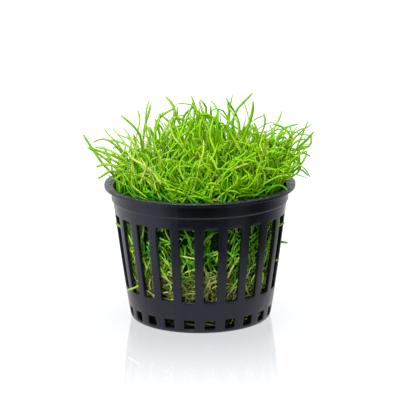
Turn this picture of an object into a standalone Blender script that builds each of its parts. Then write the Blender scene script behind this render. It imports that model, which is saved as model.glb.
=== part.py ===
"""A potted grass-leaf bladderwort: a slotted net pot, the matted growth that fills it, and its leaf tufts.

Metres, +Z up. The origin is on the pot's axis, in the plane that its base stands on.
Sizes below are in millimetres, and MM makes them metres.
Angles round the pot are counted from its front, -Y, towards +X.
"""
import random
from math import cos, exp, pi, radians, sin, tan

import bmesh
import bpy
from mathutils import Matrix, Vector
from mathutils.kdtree import KDTree

MM = 0.001
UP = Vector((0, 0, 1))

# The pot's outer form, from the lip down
LIP_RADIUS, LIP_TOP, LIP_EDGE, LIP_ROUND = 27.5, 39.3, 0.85, 1.0
COLLAR_RADIUS, COLLAR_TOP, COLLAR_BOTTOM = 25.45, 38.2, 34.95
STEP_RADIUS, STEP_HEIGHT = 25.05, 34.6
LEDGE_BOTTOM = 32.5
BASE_RADIUS, BASE_ROUND_RADIUS, BASE_ROUND_HEIGHT = 19.4, 20.0, 0.3
WALL, FLOOR = 0.95, 1.0
FOOT_HEIGHT = 1.6

# Its windows: tall slots, small holes in line with them, and drains in the floor
SLOTS = 22
SLOT_STEP = 2 * pi / SLOTS
FIRST_SLOT = radians(7.26)
SLOT_TOP, SLOT_BOTTOM, SLOT_HALF_ANGLE = 31.2, 9.5, radians(5.06)
HOLE_TOP, HOLE_BOTTOM, HOLE_HALF_ANGLE = 4.05, 1.2, radians(4.1)
DRAINS, DRAIN_INNER, DRAIN_OUTER, DRAIN_WIDTH = 11, 7.0, 16.0, 1.8
CUTTER_INNER, CUTTER_OUTER = 17.0, 28.0
TURNED_STEPS = 2 * SLOTS

# The growth inside the pot
GAP = 0.35
CORNER_ROUND = 0.8
ROOT_TOP = 12.2
MAT_RADIUS, MAT_SHOULDER, MAT_CROWN, MAT_SWELL = 24.0, 37.4, 41.0, 2.4

# The strands pressed into its side: their depth and heights, their number round it and how they climb
TANGLE_DEPTH = 1.5
ROOT_TANGLE, MAT_TANGLE = (4.0, 11.0), (14.0, 33.0)
RISING_STRANDS, FALLING_STRANDS = (13, 0.55), (17, -0.7)

# The tufts: rings of crowns on the mat, as (radius, count), and the leaves on each
TUFT_RINGS = ((3.2, 3), (9.3, 9), (15.5, 14), (21.2, 19))
RING_JITTER, TURN_JITTER = 0.6, 0.25
LEAVES_PER_TUFT = 5
LONG_LEAVES_PER_TUFT = 2
CROWN_RADIUS, CROWN_NECK, CROWN_HEIGHT = 1.25, 0.95, 1.0
LEAF_WIDTH, LEAF_THICKNESS, TIP_SIZE = 0.95, 0.6, 0.2
SECTION_LENGTH = 5.2
TIP_LEAN, TIP_OUTWARD, TIP_JITTER, TIP_RISE, TIP_LIFT = (2.0, 10.0), (0.12, 0.5), 3.0, (0.45, 1.0), 1.5
AIM_SHARE, AIM_LEAN, AIM_JITTER, AIM_DROP = (0.45, 0.75), (0.1, 0.9), 2.5, 0.8
LATE_TRY_SHRINK = 0.4
REACH, EDGE_HEIGHT, MIDDLE_RISE, MOUND_RADIUS = 32.5, 48.0, 11.0, 24.0
SEED = 7

# How near a leaf may come to the things round it, measured from its middle line
LEAF_ROOM, CROWN_ROOM, MAT_ROOM, LIP_ROOM = 1.5, 2.55, 0.9, 1.0
FIRST_SHARE, ROOT_SHARE, CROWDED_SHARE = 0.05, 0.2, 0.35
TRIES, TRIES_AT_LONG_TIP = 400, 150
SAMPLES = 18

# The longest leaves: where each tip stands, and how far out towards it its crown is looked for
TIP_TO_CROWN = 0.72
LONG_TIPS = (
    (-33.5, -2.0, 53.9), (-28.0, 12.0, 53.2), (-18.2, 9.0, 59.6), (-13.8, -6.0, 63.6), (-9.1, 1.0, 64.3),
    (-2.0, 6.0, 63.6), (3.6, -8.0, 64.2), (8.1, 5.0, 63.1), (15.3, 1.0, 65.0), (14.8, -9.0, 63.8),
    (24.1, 5.0, 59.2), (30.9, 4.0, 56.2), (32.2, -6.0, 57.3), (33.0, 8.0, 44.9), (31.1, -1.0, 41.9),
    (-29.5, -8.0, 51.7), (-28.8, -3.0, 42.0), (-22.0, -9.0, 60.2), (19.3, 10.0, 55.9), (32.6, 2.0, 49.6),
    (-26.0, -17.0, 46.0), (-14.0, -27.0, 46.5), (2.0, -30.0, 45.0), (17.0, -27.0, 47.0), (27.0, -18.0, 48.0),
    (-25.0, 21.0, 51.0), (-12.0, 30.0, 52.0), (3.0, 32.0, 50.0), (16.0, 28.0, 53.0), (27.0, 19.0, 50.0),
)

# Leaves that poke out through a slot: slot, height, length outside the wall, turn aside and rise of the tip
STRAYS = (
    (-5, 27.6, 0.9, -0.5, 1.4), (-4, 22.3, 0.0, 1.6, 0.2), (-4, 11.2, 1.0, -3.0, -1.3),
    (5, 21.6, 1.9, 0.3, -0.4), (4, 28.0, 0.8, 0.6, 0.9), (4, 17.5, 0.7, 0.8, 0.5),
    (8, 24.0, 2.0, -0.8, 0.9), (-9, 18.0, 2.4, 0.9, 1.0),
)

# Colour and roughness of each finish
BLACK_PLASTIC = ("black_plastic", (0.016, 0.017, 0.020), 0.42)
OLD_GROWTH = ("old_growth", (0.12, 0.10, 0.035), 0.85)
MATTED_LEAVES = ("matted_leaves", (0.09, 0.22, 0.02), 0.60)
FRESH_LEAF = ("fresh_leaf", (0.20, 0.43, 0.03), 0.45)


def polar(radius, angle, z):
    """A point at this radius, angle from the front and height."""
    return Vector((radius * sin(angle), -radius * cos(angle), z))


def wall_radius(z):
    """The outside of the pot's wall below its ledge, which draws in a little faster towards the base."""
    return 20.2 + 0.165 * z - 0.0008 * z * z


def inner_radius(z):
    return wall_radius(z) - WALL


def mat_height(radius):
    """The top of the matted growth: a low swell over the rim."""
    across = min(radius / MAT_RADIUS, 1.0)
    return MAT_SHOULDER + (MAT_CROWN - MAT_SHOULDER) * (1 - across ** MAT_SWELL)


def mat_normal(place):
    """The direction that the top of the mat faces at this place."""
    radius, step = place.xy.length, 0.1
    slope = (mat_height(radius + step) - mat_height(radius)) / step
    return (UP - Vector((place.x, place.y, 0)).normalized() * slope).normalized()


def mound_height(radius):
    """The height that the shorter leaves reach at this radius."""
    return EDGE_HEIGHT + MIDDLE_RISE * exp(-(radius / MOUND_RADIUS) ** 2)


def material(name, colour, roughness):
    made = bpy.data.materials.new(name)
    made.use_nodes = True
    shader = made.node_tree.nodes["Principled BSDF"]
    shader.inputs["Base Color"].default_value = (*colour, 1.0)
    shader.inputs["Roughness"].default_value = roughness
    shader.inputs["Metallic"].default_value = 0.0
    made.diffuse_color = (*colour, 1.0)
    return made


def new_object(name, mesh, collection, finish=None):
    made = bpy.data.objects.new(name, mesh)
    collection.objects.link(made)
    if finish:
        mesh.materials.clear()
        mesh.materials.append(finish)
    return made


def mesh_from(bm, name):
    mesh = bpy.data.meshes.new(name)
    bm.to_mesh(mesh)
    bm.free()
    return mesh


def shade_round(mesh, sharp_over):
    mesh.shade_smooth()
    mesh.set_sharp_from_angle(angle=radians(sharp_over))


def turned_mesh(profile, turn):
    """A profile of (radius, height) points turned round the Z axis, as a plain mesh."""
    bm = bmesh.new()
    points = [bm.verts.new((radius * MM, 0, z * MM)) for radius, z in profile]
    for start, end in zip(points, points[1:]):
        bm.edges.new((start, end))
    lathe = new_object("lathe", mesh_from(bm, "profile"), bpy.context.scene.collection)
    screw = lathe.modifiers.new("Screw", "SCREW")
    screw.steps = screw.render_steps = TURNED_STEPS
    screw.use_merge_vertices = True
    screw.merge_threshold = 0.02 * MM
    bpy.context.view_layer.update()
    made = bpy.data.meshes.new_from_object(lathe.evaluated_get(bpy.context.evaluated_depsgraph_get()))
    made.transform(Matrix.Rotation(turn - pi / 2, 4, "Z"))
    bpy.data.objects.remove(lathe)
    return made


def window_cutter(bm, angle, half_angle, low, high):
    """A wedge that opens one window in the wall. Its sides run towards the pot's axis."""
    block = bmesh.ops.create_cube(bm, size=1.0)["verts"]
    for corner in block:
        radius = CUTTER_OUTER if corner.co.x > 0 else CUTTER_INNER
        side = tan(half_angle) * radius * (1 if corner.co.y > 0 else -1)
        corner.co = Vector((radius, side, high if corner.co.z > 0 else low)) * MM
    bmesh.ops.rotate(bm, verts=block, cent=(0, 0, 0), matrix=Matrix.Rotation(angle - pi / 2, 3, "Z"))


def drain_cutter(bm, angle):
    """A slot through the floor that points at its centre."""
    block = bmesh.ops.create_cube(bm, size=1.0)["verts"]
    size = Vector((DRAIN_OUTER - DRAIN_INNER, DRAIN_WIDTH, 4 * FLOOR)) * MM
    bmesh.ops.scale(bm, verts=block, vec=size)
    bmesh.ops.translate(bm, verts=block, vec=((DRAIN_OUTER + DRAIN_INNER) / 2 * MM, 0, 0))
    bmesh.ops.rotate(bm, verts=block, cent=(0, 0, 0), matrix=Matrix.Rotation(angle - pi / 2, 3, "Z"))


def pot_profile():
    """From the middle of the floor up the inside, over the flat lip, and down the outside to the base."""
    floor = [(0, FLOOR), (BASE_RADIUS - WALL - 0.2, FLOOR), (inner_radius(FOOT_HEIGHT), FOOT_HEIGHT)]
    inside = [(inner_radius(z), z) for z in (20.0, 30.5)]
    inside += [(COLLAR_RADIUS - WALL, z) for z in (COLLAR_BOTTOM, LIP_TOP - LIP_ROUND)]
    lip = [(COLLAR_RADIUS, LIP_TOP), (LIP_RADIUS, LIP_TOP), (LIP_RADIUS, LIP_TOP - LIP_EDGE)]
    collar = [(COLLAR_RADIUS, COLLAR_TOP), (COLLAR_RADIUS, COLLAR_BOTTOM), (STEP_RADIUS, STEP_HEIGHT)]
    outside = [(wall_radius(z), z) for z in (LEDGE_BOTTOM, 17.0, FOOT_HEIGHT)]
    base = [(BASE_ROUND_RADIUS, BASE_ROUND_HEIGHT), (BASE_RADIUS, 0), (0, 0)]
    return floor + inside + lip + collar + outside + base


def build_net_pot(parts, cutters):
    """The moulded pot, with its slots, holes and drains cut out."""
    mesh = turned_mesh(pot_profile(), FIRST_SLOT)
    shade_round(mesh, 35)
    pot = new_object("net_pot", mesh, parts, material(*BLACK_PLASTIC))
    bm = bmesh.new()
    for number in range(SLOTS):
        angle = FIRST_SLOT + number * SLOT_STEP
        window_cutter(bm, angle, SLOT_HALF_ANGLE, SLOT_BOTTOM, SLOT_TOP)
        window_cutter(bm, angle, HOLE_HALF_ANGLE, HOLE_BOTTOM, HOLE_TOP)
    for number in range(DRAINS):
        drain_cutter(bm, FIRST_SLOT + number * 2 * pi / DRAINS)
    cutter = new_object("window_cutter", mesh_from(bm, "windows"), cutters)
    cutter.hide_render = True
    cutter.display_type = "WIRE"
    cut = pot.modifiers.new("Windows", "BOOLEAN")
    cut.operation = "DIFFERENCE"
    cut.solver = "EXACT"
    cut.object = cutter


def tangle(angle, z):
    """How far the side of the growth lies below its outer form, from 0 to 1, between crossing strands."""
    rising, falling = (0.5 + 0.5 * sin(count * angle + climb * z + sin(3 * angle) + sin(0.4 * z))
                       for count, climb in (RISING_STRANDS, FALLING_STRANDS))
    return 1 - max(rising, falling)


def sink_strands(mesh, low, high):
    """Press the tangle of strands into the side of a turned mesh, between two heights."""
    for vertex in mesh.vertices:
        place = vertex.co / MM
        radius = place.xy.length
        if low < place.z < high and radius > 1:
            angle = place.xy.angle_signed(Vector((0, -1)))
            place.xy *= 1 - TANGLE_DEPTH * tangle(angle, place.z) / radius
            vertex.co = place * MM


def build_root_mat(parts):
    """The old brown growth on the floor of the pot."""
    low = FLOOR + GAP
    profile = [(0, ROOT_TOP), (inner_radius(ROOT_TOP) - GAP - CORNER_ROUND, ROOT_TOP)]
    profile += [(inner_radius(z) - GAP, z) for z in (9.0, 5.5, low + CORNER_ROUND)]
    profile += [(BASE_RADIUS - WALL - CORNER_ROUND, low), (0, low)]
    mesh = turned_mesh(profile, FIRST_SLOT)
    sink_strands(mesh, *ROOT_TANGLE)
    shade_round(mesh, 60)
    new_object("root_mat", mesh, parts, material(*OLD_GROWTH))


def mat_profile():
    """From the middle of the mat's top out over the swell, down inside the wall, and back under it."""
    low = ROOT_TOP + GAP
    top = [(radius, mat_height(radius)) for radius in (0, 6.0, 12.0, 17.0, 21.0, 23.3)]
    side = [(MAT_RADIUS, MAT_SHOULDER - 1.6), (COLLAR_RADIUS - WALL - GAP, COLLAR_BOTTOM)]
    side += [(inner_radius(z) - GAP, z) for z in (30.0, 26.0, 22.0, 18.0, low + CORNER_ROUND)]
    return top + side + [(inner_radius(low) - GAP - CORNER_ROUND, low), (0, low)]


def arc(root, aim, tip, share):
    """A point on the curve that leaves the root towards aim and ends in the tip."""
    return root * (1 - share) ** 2 + aim * 2 * share * (1 - share) + tip * share ** 2


def arc_direction(root, aim, tip, share):
    return ((aim - root) * (1 - share) + (tip - aim) * share).normalized()


def draw_out(bm, face, keel_side, root, aim, tip):
    """Draw a triangle out into a tapering, pointed leaf. Its corner nearest keel_side is the keel."""
    corners = list(face.verts)
    keel = corners.index(min(corners, key=lambda corner: (corner.co / MM - keel_side).length))
    across = corners[keel - 1].co - corners[keel - 2].co
    sections = max(3, round((tip - root).length / SECTION_LENGTH))
    for step in range(1, sections + 1):
        share = step / (sections + 0.4)
        along = arc_direction(root, aim, tip, share)
        across = (across - along * across.dot(along)).normalized()
        size = 1 - (1 - TIP_SIZE) * share ** 3
        centre = arc(root, aim, tip, share)
        face = bmesh.ops.extrude_discrete_faces(bm, faces=[face])["faces"][0]
        corners = list(face.verts)
        corners[keel].co = (centre + along.cross(across) * LEAF_THICKNESS * size) * MM
        corners[keel - 2].co = (centre - across * LEAF_WIDTH / 2 * size) * MM
        corners[keel - 1].co = (centre + across * LEAF_WIDTH / 2 * size) * MM
    face = bmesh.ops.extrude_discrete_faces(bm, faces=[face])["faces"][0]
    bmesh.ops.pointmerge(bm, verts=list(face.verts), merge_co=tip * MM)


def build_leaf_mat(parts):
    """The matted green growth, with the few leaves that leave it through the slots."""
    mesh = turned_mesh(mat_profile(), FIRST_SLOT + SLOT_STEP / 4)
    sink_strands(mesh, *MAT_TANGLE)
    bm = bmesh.new()
    bm.from_mesh(mesh)
    for slot, z, length, turn, rise in STRAYS:
        angle = FIRST_SLOT + slot * SLOT_STEP
        outward, aside = polar(1, angle, 0), polar(1, angle + pi / 2, 0)
        window = outward * inner_radius(z) + UP * z
        patch = min(bm.faces, key=lambda face: (face.calc_center_median() / MM - window).length)
        parted = bmesh.ops.poke(bm, faces=[patch])
        middle = parted["verts"][0].co / MM
        face = max(parted["faces"], key=lambda piece: piece.calc_center_median().z)
        root = face.calc_center_median() / MM
        tip = root + outward * (length + WALL) + aside * turn + UP * rise
        draw_out(bm, face, middle, root, root + outward * length * 0.7, tip)
    bm.to_mesh(mesh)
    bm.free()
    shade_round(mesh, 60)
    new_object("leaf_mat", mesh, parts, material(*MATTED_LEAVES))


class Room:
    """The space that leaves have taken. It keeps each off the others, the crowns, the mat and the lip."""

    def __init__(self, crowns):
        self.crowns = crowns
        self.taken = []
        self.tree = None

    def is_clear_of_pot(self, share, point):
        radius = point.xy.length
        over_mat = share < ROOT_SHARE or point.z > mat_height(radius) + MAT_ROOM
        over_lip = radius < MAT_RADIUS or point.z > LIP_TOP + LIP_ROOM
        return over_mat and over_lip

    def is_clear_of_crowns(self, tuft, point):
        others = (crown for number, crown in enumerate(self.crowns) if number != tuft)
        return all((point - crown).length > CROWN_ROOM for crown in others)

    def is_clear_of_leaves(self, tuft, share, point):
        """Leaves of one tuft start side by side, so only their outer parts keep apart."""
        for _, number, _ in self.tree.find_range(point, LEAF_ROOM) if self.tree else ():
            other_tuft, other_share, _ = self.taken[number]
            if other_tuft != tuft or min(share, other_share) > CROWDED_SHARE:
                return False
        return True

    def is_free(self, tuft, points):
        return all(self.is_clear_of_pot(share, point) and self.is_clear_of_crowns(tuft, point)
                   and self.is_clear_of_leaves(tuft, share, point) for share, point in points)

    def take(self, tuft, points):
        self.taken += [(tuft, share, point) for share, point in points]
        self.tree = KDTree(len(self.taken))
        for number, (_, _, point) in enumerate(self.taken):
            self.tree.insert(point, number)
        self.tree.balance()


def random_tip(rng, root, heading, shrink):
    """A tip that leans out from the pot's axis and from the crown, under the top of the mound."""
    outward = Vector((root.x, root.y, 0))
    tip = root + heading * rng.uniform(*TIP_LEAN) * shrink + outward * rng.uniform(*TIP_OUTWARD)
    tip += Vector((rng.uniform(-TIP_JITTER, TIP_JITTER), rng.uniform(-TIP_JITTER, TIP_JITTER), 0))
    radius = tip.xy.length
    if radius > REACH:
        tip *= REACH / radius
    rise = (mound_height(min(radius, REACH)) - root.z) * rng.uniform(*TIP_RISE) * shrink
    tip.z = root.z + rise + TIP_LIFT
    return tip


def draw_leaf(rng, room, tuft, root, heading, normal, long_tip=None):
    """The aim and tip of one leaf that has room, or None. Later tries give shorter leaves."""
    for attempt in range(TRIES):
        if long_tip and attempt < TRIES_AT_LONG_TIP:
            tip = long_tip
        else:
            tip = random_tip(rng, root, heading, 1 - LATE_TRY_SHRINK * attempt / TRIES)
        rise = (tip - root).length * rng.uniform(*AIM_SHARE)
        aim = root + (normal + heading * rng.uniform(*AIM_LEAN)).normalized() * rise
        aside = [rng.uniform(-AIM_JITTER, AIM_JITTER) for _ in range(2)]
        aim += Vector((*aside, rng.uniform(-AIM_DROP, AIM_JITTER)))
        shares = [FIRST_SHARE + (1 - FIRST_SHARE) * step / (SAMPLES - 1) for step in range(SAMPLES)]
        points = [(share, arc(root, aim, tip, share)) for share in shares]
        if room.is_free(tuft, points):
            room.take(tuft, points)
            return aim, tip
    return None


def crown_places(rng):
    """The crowns stand in rings on the mat, a little off their even places."""
    places = []
    for ring, (ring_radius, count) in enumerate(TUFT_RINGS):
        for number in range(count):
            jitter = rng.uniform(-TURN_JITTER, TURN_JITTER) / count ** 0.5
            angle = 2 * pi * (number + 0.5 * ring) / count + jitter
            radius = ring_radius + rng.uniform(-RING_JITTER, RING_JITTER)
            places.append(polar(radius, angle, mat_height(radius)))
    return places


def long_tips_of(places):
    """Each long tip goes to the crown that it leans away from, with no more than a few on one crown."""
    tips = [[] for _ in places]
    for tip in map(Vector, LONG_TIPS):
        foot = tip.xy * TIP_TO_CROWN
        nearest = sorted(range(len(places)), key=lambda number: (places[number].xy - foot).length)
        home = next(number for number in nearest if len(tips[number]) < LONG_LEAVES_PER_TUFT)
        tips[home].append(tip)
    return tips


def build_tuft(parts, finish, rng, room, tuft, place, long_tips):
    """A low crown whose upper faces are drawn out into curved, tapering leaves."""
    normal = mat_normal(place)
    centre = place + normal * (GAP + CROWN_HEIGHT / 2)
    neck = centre + normal * CROWN_HEIGHT / 2
    tilt = normal.to_track_quat("Z", "Y").to_matrix().to_4x4()
    turn = Matrix.Rotation(rng.uniform(0, 2 * pi), 4, "Z")
    bm = bmesh.new()
    bmesh.ops.create_cone(bm, segments=LEAVES_PER_TUFT, radius1=CROWN_RADIUS * MM, radius2=CROWN_NECK * MM,
                          depth=CROWN_HEIGHT * MM, cap_ends=True, cap_tris=True)
    bmesh.ops.transform(bm, verts=bm.verts, matrix=Matrix.Translation(centre * MM) @ tilt @ turn)
    bm.normal_update()
    bare = [face for face in bm.faces if face.normal.dot(normal) > 0.9]
    for tip in long_tips + [None] * (LEAVES_PER_TUFT - len(long_tips)):
        toward = tip - neck if tip else Vector((rng.uniform(-1, 1), rng.uniform(-1, 1), 0))
        face = max(bare, key=lambda one: (one.calc_center_median() / MM - neck).dot(toward))
        bare.remove(face)
        root = face.calc_center_median() / MM
        leaf = draw_leaf(rng, room, tuft, root, (root - neck).normalized(), normal, tip)
        if leaf:
            draw_out(bm, face, neck, root, *leaf)
    mesh = mesh_from(bm, "tuft")
    shade_round(mesh, 50)
    new_object(f"leaf_tuft_{tuft + 1:02d}", mesh, parts, finish)


def build_tufts(parts):
    """All the tufts, those with the longest leaves first, so that these find their way."""
    rng = random.Random(SEED)
    places = crown_places(rng)
    tips = long_tips_of(places)
    room = Room([place + mat_normal(place) * CROWN_HEIGHT for place in places])
    finish = material(*FRESH_LEAF)
    for tuft in sorted(range(len(places)), key=lambda number: -len(tips[number])):
        build_tuft(parts, finish, rng, room, tuft, places[tuft], tips[tuft])


def main():
    for thing in list(bpy.data.objects):
        bpy.data.objects.remove(thing)
    parts = bpy.data.collections.new("potted_bladderwort")
    cutters = bpy.data.collections.new("cutters")
    for collection in (parts, cutters):
        bpy.context.scene.collection.children.link(collection)
    build_net_pot(parts, cutters)
    build_root_mat(parts)
    build_leaf_mat(parts)
    build_tufts(parts)


main()
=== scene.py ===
"""The looks of a potted grass-leaf bladderwort: its moulded net pot, the growth in it and its leaves.

Sizes are in millimetres, and MM makes them metres. Angles round the pot count from its front, -Y, towards +X.
"""
from math import asin, atan2, cos, pi, radians, sin, tan

import bmesh
import bpy
import numpy as np
from mathutils import Matrix, Vector, noise


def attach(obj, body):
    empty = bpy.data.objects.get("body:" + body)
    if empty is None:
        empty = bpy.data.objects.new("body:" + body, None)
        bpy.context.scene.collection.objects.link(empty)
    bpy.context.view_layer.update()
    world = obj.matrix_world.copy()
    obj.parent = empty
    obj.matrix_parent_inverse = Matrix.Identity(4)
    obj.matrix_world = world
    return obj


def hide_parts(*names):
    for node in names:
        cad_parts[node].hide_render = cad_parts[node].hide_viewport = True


MM = 0.001

# The camera, fitted to the rims and slots of the pot
CAMERA_PLACE = (0.0, -0.60654, 0.18036)
CAMERA_DOWN, CAMERA_ROLL = radians(13.561), radians(-0.395)
LENS, SENSOR = 195.33, 36.0

# The pot
LIP_RADIUS, LIP_TOP, LIP_UNDERSIDE = 27.45, 39.3, 38.36
COLLAR_RADIUS, COLLAR_BOTTOM = 25.45, 34.95
STEP_RADIUS, STEP_HEIGHT, LEDGE_BOTTOM = 25.05, 34.6, 32.5
BASE_RADIUS = 19.4
WALL = 0.95
SLOTS = 22
SLOT_STEP = 2 * pi / SLOTS
FIRST_SLOT = radians(7.26)
SLOT_TOP, SLOT_BOTTOM, SLOT_HALF_ANGLE = 31.2, 9.5, radians(5.06)
HOLE_TOP, HOLE_BOTTOM, HOLE_HALF_ANGLE = 4.05, 1.2, radians(4.1)
DRAIN_INNER, DRAIN_OUTER, DRAIN_WIDTH = 7.0, 16.0, 1.8
COLUMNS_PER_SLOT = 8
WINDOW_SHARE = 0.25
EDGE_ROUND = 0.1
LIP_WAVER, LIP_WAVER_PACE = 0.05, 1.1

# The mats under the leaves, and the dark cores behind them, which are painted shade seen in the gaps between
# leaves
MAT_RADIUS, MAT_SHOULDER, MAT_CROWN, MAT_SWELL = 24.0, 37.4, 41.0, 2.4
MAT_TOP_COVER, MAT_SIDE_COVER, MAT_NECK_COVER = 1.2, 3.3, 2.6
CORE_STEPS = 88

# The leaves, each a bent and narrow blade of so many segments
SEED = 11
SEGMENTS = 13
BLADE_THICKNESS, TIP_NARROWS, TIP_SHARE = 0.6, 0.35, 0.16
WIDTHS, STOUTER, STOUTER_FROM, STOUTER_OVER = (0.6, 0.8), 0.1, 52.0, 6.0
SMALLEST = 1e-9

# The mound: a dome of close growth, higher to the right, with looser leaves above it
DOME_HEIGHT, DOME_SWELL, DOME_SPREAD = 47.6, 3.6, 15.0
MOUND_FOOT, MOUND_EDGE, MOUND_STEEPNESS = 39.6, 27.0, 7
DOME_SLOPE, HIGHEST, RIGHTMOST = 0.14, 64.0, 32.5
FRONT_REACH, SIDE_REACH, RIGHT_REACH = 24.8, 2.7, 0.17
ROOTS_REACH = 23.6
CLEAR_OF_WALL, CLEAR_OF_LIP = 0.45, 0.5
TRIES_PER_LEAF, MOST_SPILL = 16, 13.0
TALL_FROM, TALL_MIDDLE, TALL_REACH = 58.5, 1.0, 16.0

# Colours, from the deepest to the palest, and the places where leaves are paler
BRIGHT_GREENS = ((0.022, 0.24, 0.0005), (0.065, 0.37, 0.001), (0.17, 0.475, 0.0015), (0.28, 0.52, 0.006),
                 (0.48, 0.63, 0.12))
# Darker, greener leaf colours: painted shade for leaves down in the pot and behind its wall
SHADED_GREENS = ((0.015, 0.12, 0.001), (0.045, 0.25, 0.001), (0.11, 0.42, 0.002), (0.27, 0.58, 0.02),
               (0.50, 0.70, 0.14))
OLIVES = ((0.045, 0.052, 0.006), (0.11, 0.13, 0.020), (0.22, 0.245, 0.055), (0.37, 0.41, 0.12),
          (0.56, 0.59, 0.27))
# How much darker leaves are painted deep in the mound and where they rise free above it: painted shade
TINT, OWN_TINT, PAINTED_SHADE_BELOW, PAINTED_BACKLIT_SHADE, PALER_THERE = 0.73, 0.36, 0.54, 0.10, 0.3
PALE_PLACE, PALE_REACH = (-14.5, -14.0, 46.0), 4.5
FRONT_TINT, RIM_PALER = 0.22, 0.01

# How bright gloss sees the studio: the share of a turn round the pot, from its back, and the level
STUDIO_LEVELS = ((0.0, 1.0), (0.36, 0.9), (0.40, 0.35), (0.44, 0.06), (0.56, 0.05), (0.63, 0.3), (0.70, 0.03),
                 (0.76, 0.22), (0.83, 0.6), (0.92, 1.0))

# Leaves that poke out through a slot: slot, height, length outside the wall, turn aside and rise of the tip.
# All are as wide and as pale as one another.
STRAY_WIDTH, STRAY_TINT, STRAY_DEPTH = 0.72, 0.85, 2.5
STRAYS = (
    (-5, 27.6, 0.9, -0.5, 1.4), (-4, 22.3, 0.0, 1.6, 0.2), (-4, 11.2, 1.0, -3.0, -1.3),
    (5, 21.6, 1.9, 0.3, -0.4), (4, 28.0, 0.8, 0.6, 0.9), (4, 17.5, 0.7, 0.8, 0.5),
    (8, 24.0, 2.0, -0.8, 0.9), (-9, 18.0, 2.4, 0.9, 1.0),
)

# The courses of the leaves that stand out, from tip to root, as x and the height seen in front of the axis
COURSES = (
    ((-9.5, 64.4), (-7.4, 62.6), (-6.7, 60.4), (-7.0, 57.7), (-7.6, 55.0)),
    ((-6.4, 62.4), (-4.6, 62.8), (-2.3, 62.6), (-0.6, 61.3), (0.2, 59.2), (1.2, 56.0)),
    ((-2.4, 65.0), (-1.5, 63.2), (-1.2, 61.1), (-0.1, 58.7), (1.0, 55.8)),
    ((0.2, 63.8), (2.2, 62.2), (2.8, 61.2), (1.6, 59.3), (0.8, 56.4)),
    ((3.3, 62.6), (5.1, 61.5), (5.6, 59.9), (4.8, 58.2), (5.4, 55.5)),
    ((3.1, 61.2), (3.4, 59.5), (3.1, 57.5), (4.1, 54.6)),
    ((7.7, 64.0), (8.7, 61.9), (10.3, 60.3), (11.2, 57.9), (12.1, 55.0)),
    ((15.2, 65.3), (13.4, 63.2), (11.6, 62.0), (10.2, 60.3), (9.4, 57.7)),
    ((13.4, 63.7), (14.0, 61.0), (15.1, 58.4), (14.6, 55.5)),
    ((15.1, 62.4), (15.3, 59.9), (14.2, 56.7)),
    ((19.1, 59.4), (16.7, 58.4), (14.7, 57.2), (12.7, 55.7)),
    ((23.8, 60.3), (23.0, 57.5), (21.2, 55.0), (20.4, 51.4)),
    ((-14.1, 62.6), (-14.5, 59.9), (-15.8, 57.2), (-16.2, 53.1), (-16.8, 49.7)),
    ((-18.1, 61.3), (-17.4, 58.4), (-18.1, 55.5), (-18.8, 52.1), (-19.2, 48.3)),
    ((-22.0, 58.6), (-20.3, 57.2), (-18.5, 55.7), (-16.5, 53.1)),
    ((-27.4, 55.3), (-26.9, 53.8), (-24.8, 52.5), (-23.0, 50.1)),
    ((-33.1, 53.4), (-30.6, 49.3), (-27.8, 44.9), (-24.6, 41.5)),
    ((-29.5, 49.6), (-26.9, 49.4), (-24.4, 48.2), (-21.6, 46.7), (-19.8, 44.4)),
    ((30.7, 57.0), (28.6, 51.7), (26.6, 46.8), (24.8, 43.2)),
    ((32.4, 56.3), (30.5, 55.4), (28.1, 53.1), (25.7, 49.7)),
    ((32.1, 53.5), (32.7, 50.6), (31.0, 48.7), (28.3, 49.6), (26.2, 47.3)),
    ((32.1, 46.8), (30.8, 47.9), (28.6, 48.2), (26.2, 46.3)),
    ((30.9, 41.0), (29.9, 42.4), (28.1, 43.2), (26.2, 42.5)),
    ((-27.4, 55.3), (-26.7, 53.8), (-25.5, 53.1), (-24.3, 51.9), (-23.0, 50.0), (-21.2, 47.3)),
    ((-26.4, 52.1), (-24.1, 51.9), (-21.7, 50.9), (-19.3, 49.5), (-17.4, 47.3)),
    ((-27.8, 50.2), (-27.1, 48.3), (-25.9, 45.8), (-25.2, 42.5), (-24.3, 39.1)),
    ((-29.3, 43.9), (-27.1, 44.9), (-24.5, 44.4), (-21.9, 43.4), (-20.3, 41.5)),
    ((-28.3, 46.6), (-25.9, 46.3), (-23.6, 45.4), (-21.7, 43.4)),
    ((-21.2, 53.6), (-19.8, 52.1), (-18.8, 49.7), (-18.4, 46.8)),
    ((25.7, 55.5), (22.9, 55.3), (20.0, 54.1), (17.6, 51.7)),
    ((32.1, 53.1), (30.2, 54.3), (27.6, 53.1), (25.7, 50.7), (24.8, 47.3)),
    ((30.9, 40.5), (29.5, 43.4), (27.1, 44.4), (24.3, 43.4)),
    ((29.5, 40.3), (27.1, 41.2), (24.8, 41.5), (22.4, 40.5)),
)

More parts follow.
